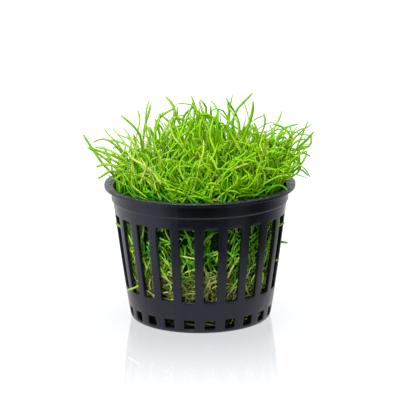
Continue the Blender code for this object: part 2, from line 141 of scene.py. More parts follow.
# The courses of leaves that stand out at the front of the mound, written in the same way
FRONT_WIDTH, FRONT_LEAN = 0.74, 0.5
FRONT_COURSES = (
    ((1.1, 51.2), (1.3, 48.8), (0.8, 46.3), (-0.4, 43.4), (-0.6, 40.5), (-2.3, 35.7)),
    ((3.7, 49.7), (4.6, 46.8), (4.9, 43.9), (3.9, 40.5), (2.0, 37.6), (0.6, 34.7)),
    ((14.8, 44.9), (12.0, 43.9), (8.6, 42.5), (5.8, 41.0), (3.9, 38.6), (2.5, 34.2)),
    ((14.1, 41.5), (11.0, 39.5), (8.6, 37.6), (6.3, 35.7), (4.6, 34.0)),
    ((-15.0, 47.3), (-13.2, 44.4), (-11.7, 40.5), (-7.0, 38.6), (-2.7, 36.6), (0.6, 34.7)),
    ((-22.2, 43.4), (-20.7, 41.0), (-18.8, 38.1), (-16.5, 36.2), (-14.6, 34.7)),
    ((-7.0, 34.2), (-3.2, 34.7), (0.6, 34.6), (5.3, 33.7)),
    ((21.0, 46.3), (22.1, 43.4), (21.9, 40.5), (20.5, 38.1), (19.1, 36.2)),
    ((15.7, 45.4), (17.6, 42.9), (18.4, 40.5), (17.6, 37.6), (15.7, 35.7)),
    ((24.5, 36.6), (23.1, 38.3), (20.5, 38.1), (17.6, 36.6), (14.8, 34.7)),
    ((-16.5, 46.3), (-14.6, 43.4), (-12.7, 40.0), (-12.2, 36.6), (-10.8, 34.2)),
    ((-5.1, 44.9), (-7.0, 43.9), (-8.9, 42.5), (-9.8, 39.5), (-8.9, 36.6), (-7.5, 34.2)),
    ((9.1, 45.8), (10.1, 42.5), (9.1, 39.1), (10.1, 36.2), (9.1, 34.2)),
    ((-2.3, 48.3), (-4.6, 46.8), (-6.0, 44.4), (-5.1, 40.5), (-2.7, 37.6), (-2.3, 34.2)),
    ((-20.3, 48.3), (-18.8, 45.8), (-16.0, 44.4), (-13.2, 42.5), (-10.8, 38.6)),
    ((25.7, 55.8), (26.6, 53.1), (25.9, 50.2), (24.8, 46.8), (24.4, 42.9)),
    ((27.8, 55.3), (26.2, 53.1), (24.5, 50.7), (23.3, 47.3), (23.1, 43.4)),
    ((30.2, 51.7), (28.3, 51.7), (26.2, 50.0), (24.8, 46.8), (24.4, 42.5)),
    ((21.0, 56.4), (24.0, 55.5), (26.2, 53.1), (26.2, 49.7), (24.8, 45.8), (24.3, 42.0)),
    ((28.5, 53.1), (26.2, 54.1), (23.3, 53.8), (21.4, 52.1), (21.0, 48.3), (21.4, 43.4)),
    ((23.6, 50.9), (25.7, 48.8), (25.5, 45.4), (24.0, 41.5)),
)

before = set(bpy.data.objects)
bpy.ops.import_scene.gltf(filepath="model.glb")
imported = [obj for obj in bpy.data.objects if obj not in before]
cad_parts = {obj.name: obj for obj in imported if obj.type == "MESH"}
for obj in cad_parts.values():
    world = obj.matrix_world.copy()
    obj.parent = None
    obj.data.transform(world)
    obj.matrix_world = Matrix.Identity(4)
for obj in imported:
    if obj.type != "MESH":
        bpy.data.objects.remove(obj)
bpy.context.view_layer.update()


def wall_radius(z):
    """The outside of the pot's wall below its ledge."""
    return 20.2 + 0.165 * z - 0.0008 * z * z


def inner_radius(z):
    """The inside of the pot up to its lip."""
    return np.where(z < STEP_HEIGHT, wall_radius(z), COLLAR_RADIUS) - WALL


def mat_height(radius):
    return MAT_SHOULDER + (MAT_CROWN - MAT_SHOULDER) * (1 - np.minimum(radius / MAT_RADIUS, 1) ** MAT_SWELL)


def polar(radius, angle, z):
    """A point at this radius, angle from the front and height."""
    return Vector((radius * sin(angle), -radius * cos(angle), z))


def round_pot(radius, angle, z):
    """Points at these radii, angles from the front and heights."""
    return np.stack([radius * np.sin(angle), -radius * np.cos(angle), z], axis=-1)


def mesh_from(bm, name):
    mesh = bpy.data.meshes.new(name)
    bm.to_mesh(mesh)
    bm.free()
    return mesh


def new_piece(mesh, material, replaces=()):
    """A finished piece at the origin, riding on the pot's body."""
    piece = bpy.data.objects.new(mesh.name, mesh)
    bpy.context.scene.collection.objects.link(piece)
    mesh.materials.clear()
    mesh.materials.append(material)
    mesh.shade_smooth()
    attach(piece, "root")
    if replaces:
        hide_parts(*replaces)
    return piece


# Materials

def new_material(name, roughness, specular=0.5):
    material = bpy.data.materials.new(name)
    material.use_nodes = True
    shader = material.node_tree.nodes["Principled BSDF"]
    shader.inputs["Roughness"].default_value = roughness
    shader.inputs["Specular IOR Level"].default_value = specular
    return material, material.node_tree, shader


def link(tree, *pairs):
    for source, target in pairs:
        tree.links.new(source, target)


def ramp(tree, source, *stops):
    """A colour ramp over source. Each stop is a place and a colour."""
    node = tree.nodes.new("ShaderNodeValToRGB")
    elements = node.color_ramp.elements
    while len(elements) < len(stops):
        elements.new(0.5)
    for element, (place, colour) in zip(elements, stops):
        element.position = place
        element.color = (*colour, 1.0)
    link(tree, (source, node.inputs["Fac"]))
    return node.outputs["Color"]


def spread(tree, source, low, high, to_low=0.0, to_high=1.0):
    """Source taken from low to high, smoothly mapped to to_low to to_high and held beyond."""
    node = tree.nodes.new("ShaderNodeMapRange")
    node.interpolation_type = "SMOOTHSTEP"
    for name, value in (("From Min", low), ("From Max", high), ("To Min", to_low), ("To Max", to_high)):
        node.inputs[name].default_value = value
    link(tree, (source, node.inputs["Value"]))
    return node.outputs["Result"]


def blend_colours(tree, share, first, second):
    node = tree.nodes.new("ShaderNodeMix")
    node.data_type = "RGBA"
    link(tree, (share, node.inputs["Factor"]), (first, node.inputs["A"]), (second, node.inputs["B"]))
    return node.outputs["Result"]


def arithmetic(tree, operation, first, second):
    node = tree.nodes.new("ShaderNodeMath")
    node.operation = operation
    for socket, value in zip(node.inputs, (first, second)):
        if isinstance(value, float):
            socket.default_value = value
        else:
            link(tree, (value, socket))
    return node.outputs["Value"]


def place_of(tree):
    """The point on the object, and its height and its distance from the pot's axis, in metres."""
    place = tree.nodes.new("ShaderNodeTexCoord").outputs["Object"]
    split = tree.nodes.new("ShaderNodeSeparateXYZ")
    flat = tree.nodes.new("ShaderNodeVectorMath")
    flat.operation = "MULTIPLY"
    flat.inputs[1].default_value = (1, 1, 0)
    far = tree.nodes.new("ShaderNodeVectorMath")
    far.operation = "LENGTH"
    link(tree, (place, split.inputs[0]), (place, flat.inputs[0]), (flat.outputs[0], far.inputs[0]))
    return place, split.outputs["Z"], far.outputs["Value"]


def mottle_group():
    """Uneven growth or moulding: a broad and a fine noise, each from 0 to 1, at sizes given in metres."""
    group = bpy.data.node_groups.new("mottle", "ShaderNodeTree")
    group.interface.new_socket("Place", in_out="INPUT", socket_type="NodeSocketVector")
    group.interface.new_socket("Broad Scale", in_out="INPUT", socket_type="NodeSocketFloat")
    group.interface.new_socket("Fine Scale", in_out="INPUT", socket_type="NodeSocketFloat")
    group.interface.new_socket("Broad", in_out="OUTPUT", socket_type="NodeSocketFloat")
    group.interface.new_socket("Fine", in_out="OUTPUT", socket_type="NodeSocketFloat")
    enter = group.nodes.new("NodeGroupInput")
    leave = group.nodes.new("NodeGroupOutput")
    for name, detail in (("Broad", 3.0), ("Fine", 5.0)):
        grain = group.nodes.new("ShaderNodeTexNoise")
        grain.inputs["Detail"].default_value = detail
        even = group.nodes.new("ShaderNodeMapRange")
        even.inputs["From Min"].default_value = 0.3
        even.inputs["From Max"].default_value = 0.7
        link(group, (enter.outputs["Place"], grain.inputs["Vector"]),
             (enter.outputs[name + " Scale"], grain.inputs["Scale"]),
             (grain.outputs["Fac"], even.inputs["Value"]), (even.outputs["Result"], leave.inputs[name]))
    return group


def mottle(tree, place, broad, fine):
    node = tree.nodes.new("ShaderNodeGroup")
    node.node_tree = MOTTLE
    node.inputs["Broad Scale"].default_value = broad
    node.inputs["Fine Scale"].default_value = fine
    link(tree, (place, node.inputs["Place"]))
    return node.outputs["Broad"], node.outputs["Fine"]


def bump(tree, shader, height, strength, distance):
    node = tree.nodes.new("ShaderNodeBump")
    node.inputs["Strength"].default_value = strength
    node.inputs["Distance"].default_value = distance * MM
    link(tree, (height, node.inputs["Height"]), (node.outputs["Normal"], shader.inputs["Normal"]))


def attribute(tree, name):
    node = tree.nodes.new("ShaderNodeAttribute")
    node.attribute_name = name
    return node.outputs["Fac"]


def plastic_material():
    """Black moulded plastic with faint upright streaks, and a rougher lip with paler grey specks on its top
    face.
    """
    material, tree, shader = new_material("black_moulded_plastic", 0.26, 0.6)
    shader.inputs["Specular Tint"].default_value = (0.66, 0.73, 0.96, 1.0)
    place, height, _ = place_of(tree)
    upright = tree.nodes.new("ShaderNodeVectorMath")
    upright.operation = "MULTIPLY"
    upright.inputs[1].default_value = (1, 1, 0.12)
    link(tree, (place, upright.inputs[0]))
    streak, _ = mottle(tree, upright.outputs[0], broad=420.0, fine=2200.0)
    _, fine = mottle(tree, place, broad=260.0, fine=2200.0)
    _, speck = mottle(tree, place, broad=900.0, fine=3600.0)
    black = ramp(tree, streak, (0.0, (0.0040, 0.0043, 0.0064)), (1.0, (0.0072, 0.0078, 0.0112)))
    # Paler grey specks on the lip's top face
    pale_specks = ramp(tree, speck, (0.45, (0.008, 0.008, 0.011)), (0.62, (0.035, 0.036, 0.042)),
                   (0.8, (0.16, 0.16, 0.18)))
    on_lip = spread(tree, height, 39.12 * MM, 39.26 * MM)
    link(tree, (blend_colours(tree, on_lip, black, pale_specks), shader.inputs["Base Color"]))
    link(tree, (arithmetic(tree, "ADD", spread(tree, streak, 0.0, 1.0, 0.16, 0.30),
                           arithmetic(tree, "MULTIPLY", on_lip, 0.14)), shader.inputs["Roughness"]))
    bump(tree, shader, fine, strength=0.25, distance=0.03)
    return material


def leaf_material(name, upper, lower, low, high, roughness=0.26, specular=0.22):
    """Greens that vary from leaf to leaf and along it, and pass into the lower ones from high to low."""
    material, tree, shader = new_material(name, roughness, specular)
    place, height, _ = place_of(tree)
    broad, fine = mottle(tree, place, broad=160.0, fine=1500.0)
    tint = attribute(tree, "tint")
    shade = arithmetic(tree, "ADD", tint, spread(tree, broad, 0.0, 1.0, -0.1, 0.1))
    places = [step / (len(upper) - 1) for step in range(len(upper))]
    uneven = arithmetic(tree, "ADD", height, spread(tree, tint, 0.0, 1.0, -4.0 * MM, 4.0 * MM))
    colour = blend_colours(tree, spread(tree, uneven, low * MM, high * MM),
                           ramp(tree, shade, *zip(places, lower)), ramp(tree, shade, *zip(places, upper)))
    link(tree, (colour, shader.inputs["Base Color"]))
    link(tree, (spread(tree, fine, 0.0, 1.0, roughness - 0.08, roughness + 0.12), shader.inputs["Roughness"]))
    shader.inputs["Subsurface Weight"].default_value = 0.6
    shader.inputs["Subsurface Radius"].default_value = (0.7, 1.0, 0.1)
    shader.inputs["Subsurface Scale"].default_value = 0.8 * MM
    bump(tree, shader, fine, strength=0.1, distance=0.02)
    return material


def core_material(name, low, high):
    """The dark body behind the leaves: painted shade deep in the growth, over the old growth's own brown
    where there is one. Low holds its darkest and palest in the pot, and high those above it; the darker
    colours in the pot are painted shade too.
    """
    material, tree, shader = new_material(name, 0.9, 0.1)
    place, height, _ = place_of(tree)
    broad, fine = mottle(tree, place, broad=350.0, fine=1400.0)
    in_pot, in_mound = (ramp(tree, fine, (0.25, dark), (0.85, pale)) for dark, pale in (low, high))
    link(tree, (blend_colours(tree, spread(tree, height, 33.0 * MM, 39.0 * MM), in_pot, in_mound),
                shader.inputs["Base Color"]))
    bump(tree, shader, broad, strength=0.8, distance=0.4)
    return material


# The pot

def window_half_angle(radius, z):
    """Half the angle that a window takes in this row of the pot. Drains keep their width towards the axis."""
    if z < 0.5 and radius < BASE_RADIUS:
        return asin(min(DRAIN_WIDTH / 2 / max(radius, 4.0), 0.9))
    return HOLE_HALF_ANGLE if z < (HOLE_TOP + SLOT_BOTTOM) / 2 else SLOT_HALF_ANGLE


def slot_share(place):
    """The number of the nearest slot, and how far across its share this place lies, -0.5 to 0.5."""
    turns = (atan2(place.x, -place.y) - FIRST_SLOT) / SLOT_STEP
    return round(turns), turns - round(turns)


def slide_column(vertex):
    """Turn a vertex round the pot so that the columns of faces follow the windows' edges."""
    radius, z = vertex.co.xy.length / MM, vertex.co.z / MM
    if radius < 1:
        return
    number, share = slot_share(vertex.co)
    half = window_half_angle(radius, z)
    if abs(share) <= WINDOW_SHARE + 0.0001:
        offset = share / WINDOW_SHARE * half
    else:
        offset = half + (abs(share) - WINDOW_SHARE) / (0.5 - WINDOW_SHARE) * (SLOT_STEP / 2 - half)
        offset *= 1 if share > 0 else -1
    vertex.co = polar(radius, FIRST_SLOT + number * SLOT_STEP + offset, z) * MM


def is_window(face):
    place = face.calc_center_median() / MM
    number, share = slot_share(place)
    in_slot = SLOT_BOTTOM < place.z < SLOT_TOP
    in_hole = HOLE_BOTTOM < place.z < HOLE_TOP
    in_drain = number % 2 == 0 and place.z < 0.1 and DRAIN_INNER < place.xy.length < DRAIN_OUTER
    return abs(share) < WINDOW_SHARE and (in_slot or in_hole or in_drain)


def pot_rows():
    """The outer form of the pot as (radius, height), from the middle of its floor to the top of its lip."""
    floor = [(0, 0), (DRAIN_INNER, 0), (11.5, 0), (DRAIN_OUTER, 0), (BASE_RADIUS - 0.5, 0)]
    foot = [(BASE_RADIUS, 0.02), (BASE_RADIUS + 0.35, 0.12), (BASE_RADIUS + 0.75, 0.5)]
    low = [(wall_radius(z), z) for z in (HOLE_BOTTOM, 2.6, HOLE_TOP, 6.0, 7.7, SLOT_BOTTOM)]
    high = [(wall_radius(z), z) for z in np.linspace(SLOT_BOTTOM, SLOT_TOP, 8)[1:]]
    ledge = [(wall_radius(LEDGE_BOTTOM), LEDGE_BOTTOM), (STEP_RADIUS - 0.03, STEP_HEIGHT - 0.2),
             (STEP_RADIUS, STEP_HEIGHT)]
    collar = [(COLLAR_RADIUS, z) for z in (COLLAR_BOTTOM, COLLAR_BOTTOM + 0.12, 36.3, 37.75)]
    lip = [(COLLAR_RADIUS + 0.07, LIP_UNDERSIDE - 0.24), (COLLAR_RADIUS + 0.3, LIP_UNDERSIDE - 0.03)]
    lip += [(26.5, LIP_UNDERSIDE), (LIP_RADIUS, LIP_UNDERSIDE)]
    return floor + foot + low + high + ledge + collar + lip


def spin_rows(rows, steps, start=0.0):
    """A sheet turned from (radius, height) rows."""
    bm = bmesh.new()
    points = [bm.verts.new(polar(radius, start, z) * MM) for radius, z in rows]
    edges = [bm.edges.new(pair) for pair in zip(points, points[1:])]
    bmesh.ops.spin(bm, geom=points + edges, axis=(0, 0, 1), angle=2 * pi, steps=steps, use_merge=True)
    bmesh.ops.remove_doubles(bm, verts=bm.verts, dist=0.001 * MM)
    bmesh.ops.recalc_face_normals(bm, faces=bm.faces)
    return bm


def build_pot():
    """The pot's outer sheet is spun, its windows are opened, and Solidify gives it its wall."""
    bm = spin_rows(pot_rows(), SLOTS * COLUMNS_PER_SLOT, FIRST_SLOT)
    for vertex in bm.verts:
        slide_column(vertex)
    bmesh.ops.delete(bm, geom=[face for face in bm.faces if is_window(face)], context="FACES")
    if sum(face.normal.dot(face.calc_center_median()) for face in bm.faces) < 0:
        bmesh.ops.reverse_faces(bm, faces=bm.faces)
    for vertex in bm.verts:
        if vertex.co.z > (LIP_TOP - 0.1) * MM:
            vertex.co.z += LIP_WAVER * MM * noise.noise(vertex.co / MM * LIP_WAVER_PACE)
    pot = new_piece(mesh_from(bm, "moulded_pot"), plastic_material(), ["net_pot"])
    wall = pot.modifiers.new("Wall", "SOLIDIFY")
    wall.thickness = WALL * MM
    wall.offset = -1
    wall.use_even_offset = True
    edge = pot.modifiers.new("Edges", "BEVEL")
    edge.width = EDGE_ROUND * MM
    edge.segments = 2
    edge.limit_method = "ANGLE"
    edge.angle_limit = radians(50)


# The leaves

def blade_template():
    """One straight leaf of unit size: x across it, y through it, and z along it from 0 to 1, in rings."""
    bm = bmesh.new()
    bmesh.ops.create_cone(bm, segments=4, radius1=0.5, radius2=0.5, depth=1.0, cap_ends=True)
    bmesh.ops.translate(bm, verts=bm.verts, vec=(0, 0, 0.5))
    for ring in range(1, SEGMENTS):
        bmesh.ops.bisect_plane(bm, geom=bm.verts[:] + bm.edges[:] + bm.faces[:],
                               plane_co=(0, 0, ring / SEGMENTS), plane_no=(0, 0, 1))
    vertices = np.array([vertex.co[:] for vertex in bm.verts])
    faces = np.array([[vertex.index for vertex in face.verts] for face in bm.faces])
    bm.free()
    return vertices, faces


def blade_size(along):
    """The leaf's width from root to tip, as a share of its full width."""
    return 1 - TIP_NARROWS * np.clip((along - 1 + TIP_SHARE) / TIP_SHARE, 0, 1) ** 2


def normalized(vectors):
    return vectors / np.maximum(np.linalg.norm(vectors, axis=-1, keepdims=True), SMALLEST)


def bend_blades(paths, widths, facing):
    """The template's vertices bent along each path, as leaf by vertex by 3."""
    vertices, _ = BLADE
    tangents = normalized(np.gradient(paths, axis=1))
    across = np.empty_like(paths)
    side = facing
    for ring in range(paths.shape[1]):
        along = tangents[:, ring]
        side = normalized(side - along * np.sum(side * along, axis=1, keepdims=True))
        across[:, ring] = side
    through = np.cross(tangents, across)
    ring_of = np.rint(vertices[:, 2] * SEGMENTS).astype(int)
    size = (widths[:, None] * blade_size(vertices[:, 2])[None])[..., None]
    flat = across[:, ring_of] * vertices[:, 0][None, :, None] * size
    deep = through[:, ring_of] * vertices[:, 1][None, :, None] * size * BLADE_THICKNESS
    return paths[:, ring_of] + flat + deep


def leaves_mesh(name, rng, paths, widths, tints):
    """Copies of the template bent along the paths and joined, with the tint of each ring as an attribute."""
    facing = normalized(rng.normal(size=(len(paths), 3)))
    points = bend_blades(paths, widths, facing)
    vertices, faces = BLADE
    every = faces[None] + (np.arange(len(paths)) * len(vertices))[:, None, None]
    mesh = bpy.data.meshes.new(name)
    mesh.from_pydata((points.reshape(-1, 3) * MM).tolist(), [], every.reshape(-1, 4).tolist())
    tint = mesh.attributes.new("tint", "FLOAT", "POINT")
    rings = np.rint(vertices[:, 2] * SEGMENTS).astype(int)
    tint.data.foreach_set("value", tints[:, rings].ravel().astype(np.float32))
    return mesh


def kindred(rng, wisps, size):
    """A turn for each leaf, mostly shared by the leaves of its wisp."""
    shared = rng.normal(0, size, (wisps.max() + 1, 3))
    return 0.85 * shared[wisps] + rng.normal(0, 0.45 * size, (len(wisps), 3))


def of_wisp(rng, wisps, low, high, own):
    """A number for each leaf, shared by the leaves of its wisp but for its own small part."""
    return rng.uniform(low, high, wisps.max() + 1)[wisps] + rng.normal(0, own, len(wisps))


def free_paths(rng, roots, headings, lengths, curl, wisps):
    """Paths that leave their roots along their headings and wind about, some to a hooked tip."""
    step = (lengths / SEGMENTS)[:, None]
    steady, swaying = kindred(rng, wisps, 0.6 * curl), kindred(rng, wisps, 2.0 * curl)
    hooking = rng.normal(0, 0.11, (len(wisps), 3))
    phase = of_wisp(rng, wisps, 0, 2 * pi, 0.35)[:, None]
    pace = of_wisp(rng, wisps, 0.25, 0.6, 0.03)[:, None]
    heading = normalized(headings)
    points = [roots]
    for segment in range(SEGMENTS):
        turn = steady + swaying * np.sin(phase + pace * segment * step) + hooking * (segment / SEGMENTS) ** 3
        heading = normalized(heading + np.cross(turn, heading) * step)
        points.append(points[-1] + heading * step)
    return np.stack(points, axis=1)


def wall_paths(rng, count, low, high, depths, lengths, curl, slant):
    """Paths that wander along the inside of the wall, between two heights, at some depth behind it."""
    angle = rng.uniform(0, 2 * pi, count)
    z = rng.uniform(low, high, count)
    step = rng.uniform(*lengths, count) / SEGMENTS
    heading = rng.normal(0, slant, count)
    steady = rng.normal(0, curl, count)
    swaying = rng.normal(0, 2 * curl, count)
    phase, depth_phase = rng.uniform(0, 2 * pi, (2, count))
    pace = rng.uniform(0.3, 0.9, count)
    depth = rng.uniform(0, 1, count) ** 1.5
    points = []
    for segment in range(SEGMENTS + 1):
        wave = 0.5 + 0.5 * np.sin(depth_phase + pace * segment * step)
        behind = depths[0] + (depths[1] - depths[0]) * np.clip(0.6 * depth + 0.4 * wave * depth ** 0.5, 0, 1)
        points.append(round_pot(inner_radius(z) - behind, angle, z))
        turn = steady + swaying * np.sin(phase + pace * segment * step)
        heading = heading + turn * step
        angle = angle + np.sin(heading) * step / wall_radius(z)
        z = z + np.cos(heading) * step
    return np.stack(points, axis=1)


def bend_within(paths, low, high):
    """Those paths that keep between two heights."""
    return paths[(paths[..., 2].min(1) > low) & (paths[..., 2].max(1) < high)]


def dome_height(radius):
    return DOME_HEIGHT + DOME_SWELL * np.exp(-(radius / DOME_SPREAD) ** 2)


def mound_top(radius):
    """The height up to which the leaves stand close together: a dome that comes down to the rim."""
    dome = dome_height(radius)
    return dome - (dome - MOUND_FOOT) * np.minimum(radius / MOUND_EDGE, 1) ** MOUND_STEEPNESS


def is_in_mound(paths, slack):
    """Whether each path keeps inside the pot, over the lip, under the mound's top and within its sides."""
    radius = np.linalg.norm(paths[..., :2], axis=-1)
    x, z = paths[..., 0], paths[..., 2]
    in_pot = (radius < inner_radius(z) - CLEAR_OF_WALL) | (z > LIP_TOP + CLEAR_OF_LIP)
    slack = slack[:, None]
    under = z < np.minimum(dome_height(radius) + DOME_SLOPE * x + slack, HIGHEST)
    aside = (x / np.maximum(radius, 0.1)) ** 2
    above_rim = np.clip((z - 41.0) / 6.0, 0, 1)
    reach = FRONT_REACH + aside * (SIDE_REACH + RIGHT_REACH * x * above_rim) + (0.15 + 0.35 * aside) * slack
    inside = (radius < reach) & (x < RIGHTMOST)
    past_wall = radius - COLLAR_RADIUS + WALL
    over_lip = (past_wall < 0) | (z > LIP_TOP + CLEAR_OF_LIP + 0.8 * past_wall)
    is_root = (np.arange(SEGMENTS + 1) < 4)[None]
    over_mat = (z > mat_height(radius) - 3.5) | is_root
    return (in_pot & under & inside & over_lip & over_mat).all(1)


def mound_paths(rng, count, reach, lengths, least, spill, lean, curl, kin):
    """Leaves that rise out of the mat in wisps, lean and curl, and pass the mound by least and spill more.

    Reach is how far from the axis they root, and kin is how many leaves a wisp has before the choice.
    """
    tries = count * TRIES_PER_LEAF
    wisps = np.arange(tries) // kin
    radius = reach * of_wisp(rng, wisps, 0, 1, 0.0) ** 0.4
    roots = round_pot(radius, of_wisp(rng, wisps, 0, 2 * pi, 0.0), np.zeros(tries))
    roots[:, :2] += rng.normal(0, 1.7, (tries, 2))
    radius, angle = np.linalg.norm(roots, axis=1), np.arctan2(roots[:, 0], -roots[:, 1])
    roots[:, 2] = mat_height(radius) - rng.uniform(1.0, 4.0, tries)
    outward = (0.2 + 0.45 * np.sin(angle) ** 2) * (radius / ROOTS_REACH) ** 2
    headings = round_pot(outward, angle, np.ones(tries)) + kindred(rng, wisps, lean)
    headings[:, 2] = np.abs(headings[:, 2]) + 0.15
    slack = np.minimum(rng.exponential(spill, tries) + least, MOST_SPILL)
    paths = free_paths(rng, roots, headings, rng.uniform(*lengths, tries), curl, wisps)
    return paths[is_in_mound(paths, slack) & (radius < ROOTS_REACH)][:count]


def rises_over(paths, height):
    """Those paths that reach this far above the mound."""
    radius = np.linalg.norm(paths[..., :2], axis=-1)
    return paths[(paths[..., 2] - dome_height(radius)).max(1) > height]


def mound_tints(rng, paths):
    """Painted shade: darker green down in the mound, and a little darker on leaves that rise free above it,
    as backlit leaves look; lime at its top and sides, each leaf a little different.
    """
    radius = np.linalg.norm(paths[..., :2], axis=-1)
    depth = np.clip((mound_top(radius) - paths[..., 2]) / 7.0, 0, 1)
    pale = np.exp(-np.sum((paths - PALE_PLACE) ** 2, axis=-1) / PALE_REACH ** 2)
    free = np.clip((paths[..., 2] - mound_top(radius) - 1.0) / 6.0, 0, 1)
    own = rng.beta(3, 3, (len(paths), 1)) - 0.5
    return TINT - PAINTED_SHADE_BELOW * depth - PAINTED_BACKLIT_SHADE * free + OWN_TINT * own + PALER_THERE * pale


def even_tints(rng, first, second, paths):
    """One tint for each leaf, from a beta spread."""
    return np.repeat(rng.beta(first, second, (len(paths), 1)), SEGMENTS + 1, axis=1)


def leaf_widths(rng, paths):
    """A width for each leaf. Those that reach high are stouter."""
    high = np.clip((paths[:, -1, 2] - STOUTER_FROM) / STOUTER_OVER, 0, 1)
    return rng.uniform(*WIDTHS, len(paths)) + STOUTER * high


def tuft_lines(name):
    """The middle lines of a tuft's leaves from root to tip, read ring by ring from its CAD mesh."""
    bm = bmesh.new()
    bm.from_mesh(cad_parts[name].data)
    bmesh.ops.remove_doubles(bm, verts=bm.verts, dist=0.001 * MM)
    lines = []
    for tip in bm.verts:
        seen, ring, line = {tip}, [tip], [tip.co / MM]
        while len(tip.link_edges) == 3:
            near = {edge.other_vert(vertex) for vertex in ring for edge in vertex.link_edges} - seen
            if len(near) != 3:
                break
            ring = sorted(near, key=lambda vertex: vertex.index)
            seen.update(ring)
            line.append(sum((vertex.co for vertex in ring), Vector()) / 3 / MM)
        if len(line) > 3:
            lines.append(even_line(np.array(line[::-1])))
    bm.free()
    return lines


def even_line(line):
    """The same line through evenly spaced points, with its corners rounded."""
    along = np.concatenate([[0], np.cumsum(np.linalg.norm(np.diff(line, axis=0), axis=1))])
    places = np.linspace(0, along[-1], SEGMENTS + 1)
    even = np.stack([np.interp(places, along, axis) for axis in line.T], axis=1)
    for _ in range(2):
        even[1:-1] = (even[:-2] + 2 * even[1:-1] + even[2:]) / 4
    return even


def follow_courses(paths):
    """Lead the leaves whose ends lie nearest the courses along them, each leaf once and at its own depth."""
    slant = tan(CAMERA_DOWN)
    taken = np.zeros(len(paths))
    for course in COURSES:
        seen = paths[..., 2] + paths[..., 1] * slant
        away = np.hypot(paths[:, -1, 0] - course[0][0], seen[:, -1] - course[0][1])
        away += 1.1 * np.abs(paths[:, 0, 0] - course[-1][0])
        chosen = np.argmin(away + 100 * taken)
        taken[chosen] = 1
        line = even_line(np.array([(paths[chosen, 0, 0], seen[chosen, 0]), *course[::-1]]))
        depth = paths[chosen, :, 1]
        paths[chosen] = np.stack([line[:, 0], depth, line[:, 1] - depth * slant], axis=1)
    return paths


def front_paths():
    """Leaves that rise from the front of the rim and lie on the mound along their courses."""
    slant = tan(CAMERA_DOWN)
    paths = []
    for course in FRONT_COURSES:
        line = even_line(np.array(course[::-1]))
        root_depth = -(ROOTS_REACH ** 2 - min(abs(line[0, 0]), ROOTS_REACH - 0.6) ** 2) ** 0.5
        depth = root_depth + FRONT_LEAN * (line[:, 1] - line[0, 1])
        paths.append(np.stack([line[:, 0], depth, line[:, 1] - depth * slant], axis=1))
    return np.array(paths)


def sway(rng, paths, size):
    """Let the paths waver to and fro, more towards their tips."""
    share = np.linspace(0, 1, SEGMENTS + 1)[None, :, None]
    for _ in range(2):
        aside = normalized(rng.normal(size=(len(paths), 1, 3)))
        waves = rng.uniform(0.6, 1.6, (len(paths), 1, 1))
        phase = rng.uniform(0, 2 * pi, (len(paths), 1, 1))
        swing = share ** 0.8 * (1 - 0.4 * share) * size
        paths = paths + aside * swing * np.sin(phase + 2 * pi * waves * share)
    return paths


def stray_paths():
    """The leaves that leave the mat through the slots."""
    paths = []
    for slot, z, length, turn, rise in STRAYS:
        angle = FIRST_SLOT + slot * SLOT_STEP
        outward, aside = polar(1, angle, 0), polar(1, angle + pi / 2, 0)
        window = polar(wall_radius(z) - WALL, angle, z)
        root = window - outward * STRAY_DEPTH - aside * turn - Vector((0, 0, 2.0 * rise))
        tip = window + outward * (length + WALL) + aside * turn + Vector((0, 0, rise))
        shares = np.linspace(0, 1, SEGMENTS + 1)[:, None]
        paths.append((1 - shares) ** 2 * root + 2 * shares * (1 - shares) * window + shares ** 2 * tip)
    return np.array(paths)


def grow_tufts(rng, material):
    tufts = sorted(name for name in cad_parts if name.startswith("leaf_tuft"))
    lines = np.array([line for name in tufts for line in tuft_lines(name)])
    paths = follow_courses(sway(rng, lines, 1.5))
    tints = mound_tints(rng, paths)
    mesh = leaves_mesh("tuft_leaves", rng, paths, leaf_widths(rng, paths), tints)
    new_piece(mesh, material, tufts)


def grow_mound(rng, material):
    """Tall leaves in the middle, middling ones round them, a bushy right side, short growth and the front."""
    tall = mound_paths(rng, count=3200, reach=17.0, lengths=(23.0, 31.0), least=9.0, spill=2.0, lean=0.2,
                       curl=0.13, kin=8)
    tall = tall[(tall[..., 2].max(1) > TALL_FROM) & (np.abs(tall[:, -1, 0] - TALL_MIDDLE) < TALL_REACH)]
    is_left = tall[:, -1, 0] < TALL_MIDDLE
    tall = np.concatenate([tall[is_left][:30], tall[~is_left][:14]])
    middling = mound_paths(rng, count=1900, reach=23.0, lengths=(15.0, 25.0), least=3.0, spill=2.0, lean=0.30,
                           curl=0.15, kin=8)
    middling = rises_over(middling, 2.0)
    middling = middling[middling[:, -1, 0] > -20.0]
    bushy = mound_paths(rng, count=1300, reach=ROOTS_REACH, lengths=(14.0, 22.0), least=0.0, spill=2.0,
                        lean=0.40, curl=0.13, kin=8)
    bushy = bushy[(bushy[:, -1, 0] > 24.0) & (bushy[:, -1, 2] > 47.0)]
    standing = mound_paths(rng, count=560, reach=ROOTS_REACH, lengths=(12.0, 24.0), least=-1.0, spill=1.5,
                           lean=0.30, curl=0.15, kin=14)
    paths = np.concatenate([standing, tall, middling[:140], bushy[:18]])
    front = front_paths()
    widths = np.concatenate([leaf_widths(rng, paths), np.full(len(front), FRONT_WIDTH)])
    tints = np.concatenate([mound_tints(rng, paths), FRONT_TINT + even_tints(rng, 6.0, 6.0, front)])
    paths = np.concatenate([paths, front])
    new_piece(leaves_mesh("mound_leaves", rng, paths, widths, tints), material)


def grow_rim(rng, material):
    paths = wall_paths(rng, count=450, low=35.0, high=38.5, depths=(0.4, 4.4), lengths=(8.0, 14.0), curl=0.07,
                       slant=0.6)
    paths = bend_within(paths, 34.8, 46.0)
    widths = rng.uniform(0.5, 0.78, len(paths))
    tints = mound_tints(rng, paths) + RIM_PALER
    new_piece(leaves_mesh("rim_leaves", rng, paths, widths, tints), material)


